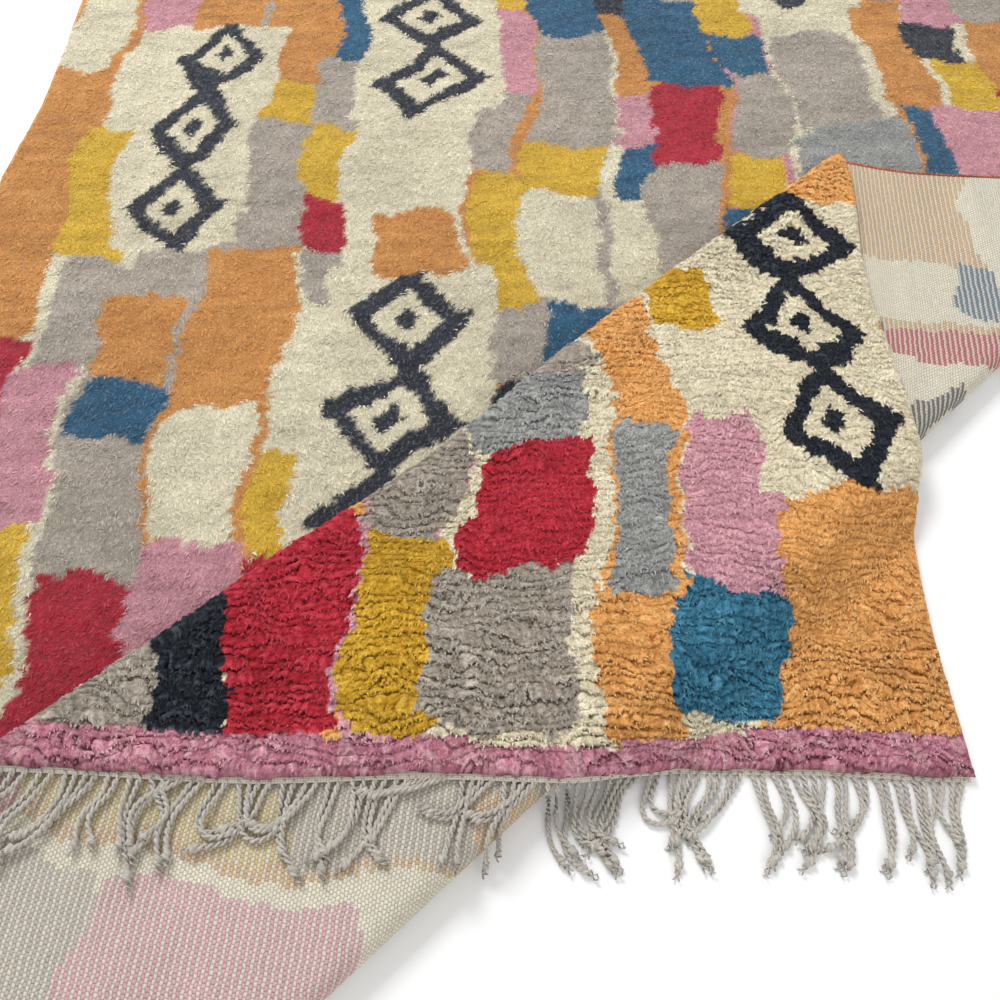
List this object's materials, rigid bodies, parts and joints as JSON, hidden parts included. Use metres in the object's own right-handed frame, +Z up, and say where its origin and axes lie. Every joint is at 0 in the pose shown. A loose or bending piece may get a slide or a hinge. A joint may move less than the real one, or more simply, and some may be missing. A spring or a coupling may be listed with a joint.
{
  "type": "hand-knotted rug",
  "caption": "Long-pile hand-knotted wool rug lying on a floor, one corner folded back over the rug and forward again to show its back, pile and twisted fringe.",
  "frame": {"origin": "on the floor, at the middle of the rug's own unfolded rectangle", "axes": "+Z up from the floor; +Y along the rug's length, from the fringed end that is partly folded over towards the far end; +X across the rug, towards the folded corner's side"},
  "size_m": [1.7191, 2.524, 0.0608],
  "materials": {
    "pile_wool": "matte wool pile, mostly cream and apricot with grey, navy, blue, red and pink areas",
    "warp_yarn": "matte twisted yarn, grey-beige",
    "edge_yarn": "matte twisted yarn, reddish orange"
  },
  "bodies": {
    "root": {"rug_body": "pile_wool", "fringe_base": "warp_yarn", "fringe_middle": "warp_yarn", "fringe_top": "warp_yarn", "heading_far": "warp_yarn", "selvedge_left": "edge_yarn", "selvedge_right": "edge_yarn"}
  },
  "joints": []
}
